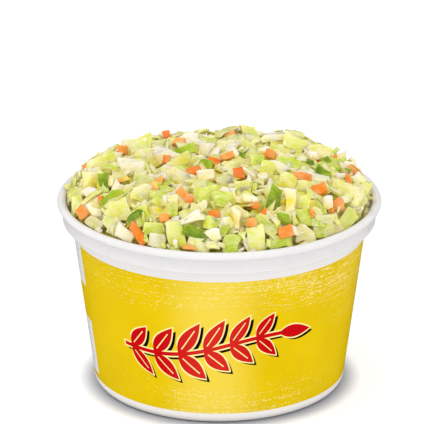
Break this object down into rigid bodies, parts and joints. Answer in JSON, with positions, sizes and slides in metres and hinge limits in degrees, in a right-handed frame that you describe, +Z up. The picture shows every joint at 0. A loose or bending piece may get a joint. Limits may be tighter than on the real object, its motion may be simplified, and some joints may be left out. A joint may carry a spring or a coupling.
{
  "type": "coleslaw in a tub",
  "caption": "Chopped coleslaw of cabbage and carrot, heaped over the rim of a round tapered plastic tub with a rolled lip and a printed yellow wall.",
  "frame": {"origin": "centre of the tub's foot ring, on the surface it stands on", "axes": "+Z up along the tub's axis of revolution, -Y towards the side of the label that faces the viewer, +X to the viewer's right"},
  "size_m": [0.117, 0.117, 0.0849],
  "materials": {
    "tub": "white moulded plastic with an in-mould yellow print on the side wall, satin",
    "cabbage": "wet chopped cabbage in a thin creamy dressing",
    "green_cabbage": "wet outer leaf, mid to dark green",
    "carrot": "wet chopped carrot"
  },
  "bodies": {
    "root": {"tub": "tub", "coleslaw": "cabbage"}
  },
  "joints": []
}
